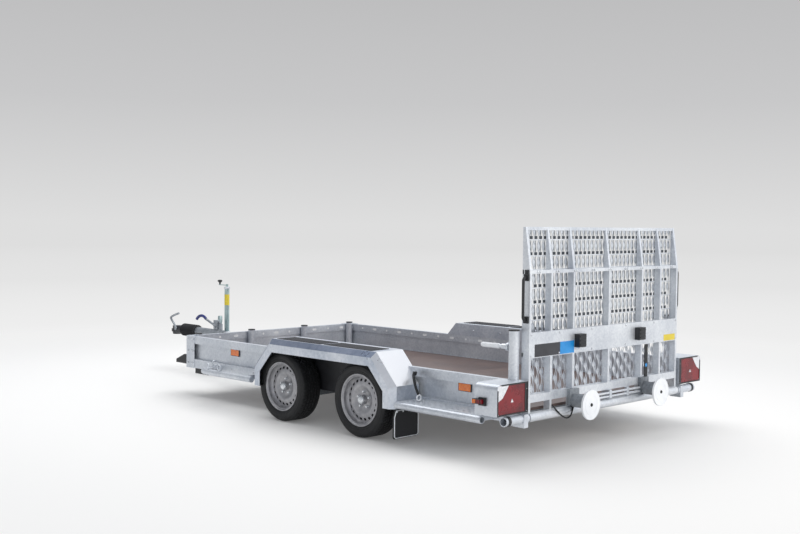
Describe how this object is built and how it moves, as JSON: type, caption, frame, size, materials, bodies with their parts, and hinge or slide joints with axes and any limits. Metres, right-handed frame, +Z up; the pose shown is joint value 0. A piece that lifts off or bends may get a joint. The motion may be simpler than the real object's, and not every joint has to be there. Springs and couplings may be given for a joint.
{
  "type": "plant trailer",
  "caption": "Galvanised tandem-axle plant trailer with low sides, trapezoid mudguards, plywood floor and a mesh loading ramp upright behind the bed.",
  "frame": {"origin": "on the ground under the middle of the overall length, on the centreline", "axes": "+X to the trailer's right, +Y forward to the coupling, +Z up"},
  "size_m": [2.444, 5.4319, 1.472],
  "materials": {
    "galvanised_steel": "hot-dip galvanised, satin with spangle",
    "plywood": "brown phenolic film, anti-slip",
    "black_plastic": "moulded, fine grain",
    "black_rubber": "matt",
    "tyre": "matt",
    "silver_paint": "silver wheel enamel",
    "red_lens": "glossy lens",
    "orange_lens": "glossy reflector",
    "white_plastic": "moulded, satin",
    "dark_steel": "galvanised casting"
  },
  "bodies": {
    "chassis": {"sills": "galvanised_steel", "cross_members": "galvanised_steel", "chassis_beams": "galvanised_steel", "drawbar_left": "galvanised_steel", "drawbar_right": "galvanised_steel", "floor": "plywood", "front_board": "galvanised_steel", "side_boards": "galvanised_steel", "corner_plates": "galvanised_steel", "stake_tubes": "galvanised_steel", "caps": "black_plastic", "mudguards": "galvanised_steel", "guard_treads": "black_rubber", "mudflaps": "black_rubber", "axle_front": "galvanised_steel", "axle_rear": "galvanised_steel", "brake_rod": "dark_steel", "steps": "galvanised_steel", "side_tubes": "galvanised_steel", "wheel_chocks": "black_plastic", "reflectors": "orange_lens", "lamp_housings": "galvanised_steel", "tail_lamps": "red_lens", "marker_lamps": "black_plastic", "rear_posts": "galvanised_steel", "latches": "galvanised_steel", "hinge_ends": "galvanised_steel", "overrun_housing": "dark_steel", "gaiter": "black_rubber", "coupling": "dark_steel", "handbrake": "dark_steel", "jockey_tube": "galvanised_steel"},
    "ramp": {"ramp_frame": "galvanised_steel", "ramp_mesh_low": "galvanised_steel", "ramp_mesh_mid": "galvanised_steel", "ramp_mesh_tip": "galvanised_steel", "ramp_handles": "black_plastic", "plate_lamps": "black_plastic", "ramp_legs": "galvanised_steel", "ramp_feet": "white_plastic"},
    "jockey_leg": {"jockey_leg": "galvanised_steel"},
    "jockey_fork": {"jockey_fork": "galvanised_steel"},
    "jockey_wheel": {"jockey_wheel": "black_rubber"},
    "wheel_fl": {"tyre_fl": "tyre", "rim_fl": "silver_paint"},
    "wheel_fr": {"tyre_fr": "tyre", "rim_fr": "silver_paint"},
    "wheel_rl": {"tyre_rl": "tyre", "rim_rl": "silver_paint"},
    "wheel_rr": {"tyre_rr": "tyre", "rim_rr": "silver_paint"}
  },
  "joints": [
    {"name": "wheel_fl_spin", "type": "hinge", "parent": "chassis", "child": "wheel_fl", "pos_m": [-1.041, -0.428, 0.262], "axis": [1, 0, 0], "continuous": true},
    {"name": "wheel_fr_spin", "type": "hinge", "parent": "chassis", "child": "wheel_fr", "pos_m": [1.041, -0.428, 0.262], "axis": [1, 0, 0], "continuous": true},
    {"name": "wheel_rl_spin", "type": "hinge", "parent": "chassis", "child": "wheel_rl", "pos_m": [-1.041, -1.28, 0.262], "axis": [1, 0, 0], "continuous": true},
    {"name": "wheel_rr_spin", "type": "hinge", "parent": "chassis", "child": "wheel_rr", "pos_m": [1.041, -1.28, 0.262], "axis": [1, 0, 0], "continuous": true},
    {"name": "ramp_hinge", "type": "hinge", "parent": "chassis", "child": "ramp", "pos_m": [0, -2.552, 0.279], "axis": [1, 0, 0], "range_deg": [0, 103]},
    {"name": "jockey_screw", "type": "slide", "parent": "chassis", "child": "jockey_leg", "axis": [0, 0, 1], "range_m": [-0.12, 0.015]},
    {"name": "jockey_swivel", "type": "hinge", "parent": "jockey_leg", "child": "jockey_fork", "pos_m": [0.15, 2.013, 0.24], "axis": [0, 0, 1], "continuous": true},
    {"name": "jockey_roll", "type": "hinge", "parent": "jockey_fork", "child": "jockey_wheel", "pos_m": [0.15, 1.968, 0.11], "axis": [1, 0, 0], "continuous": true}
  ]
}
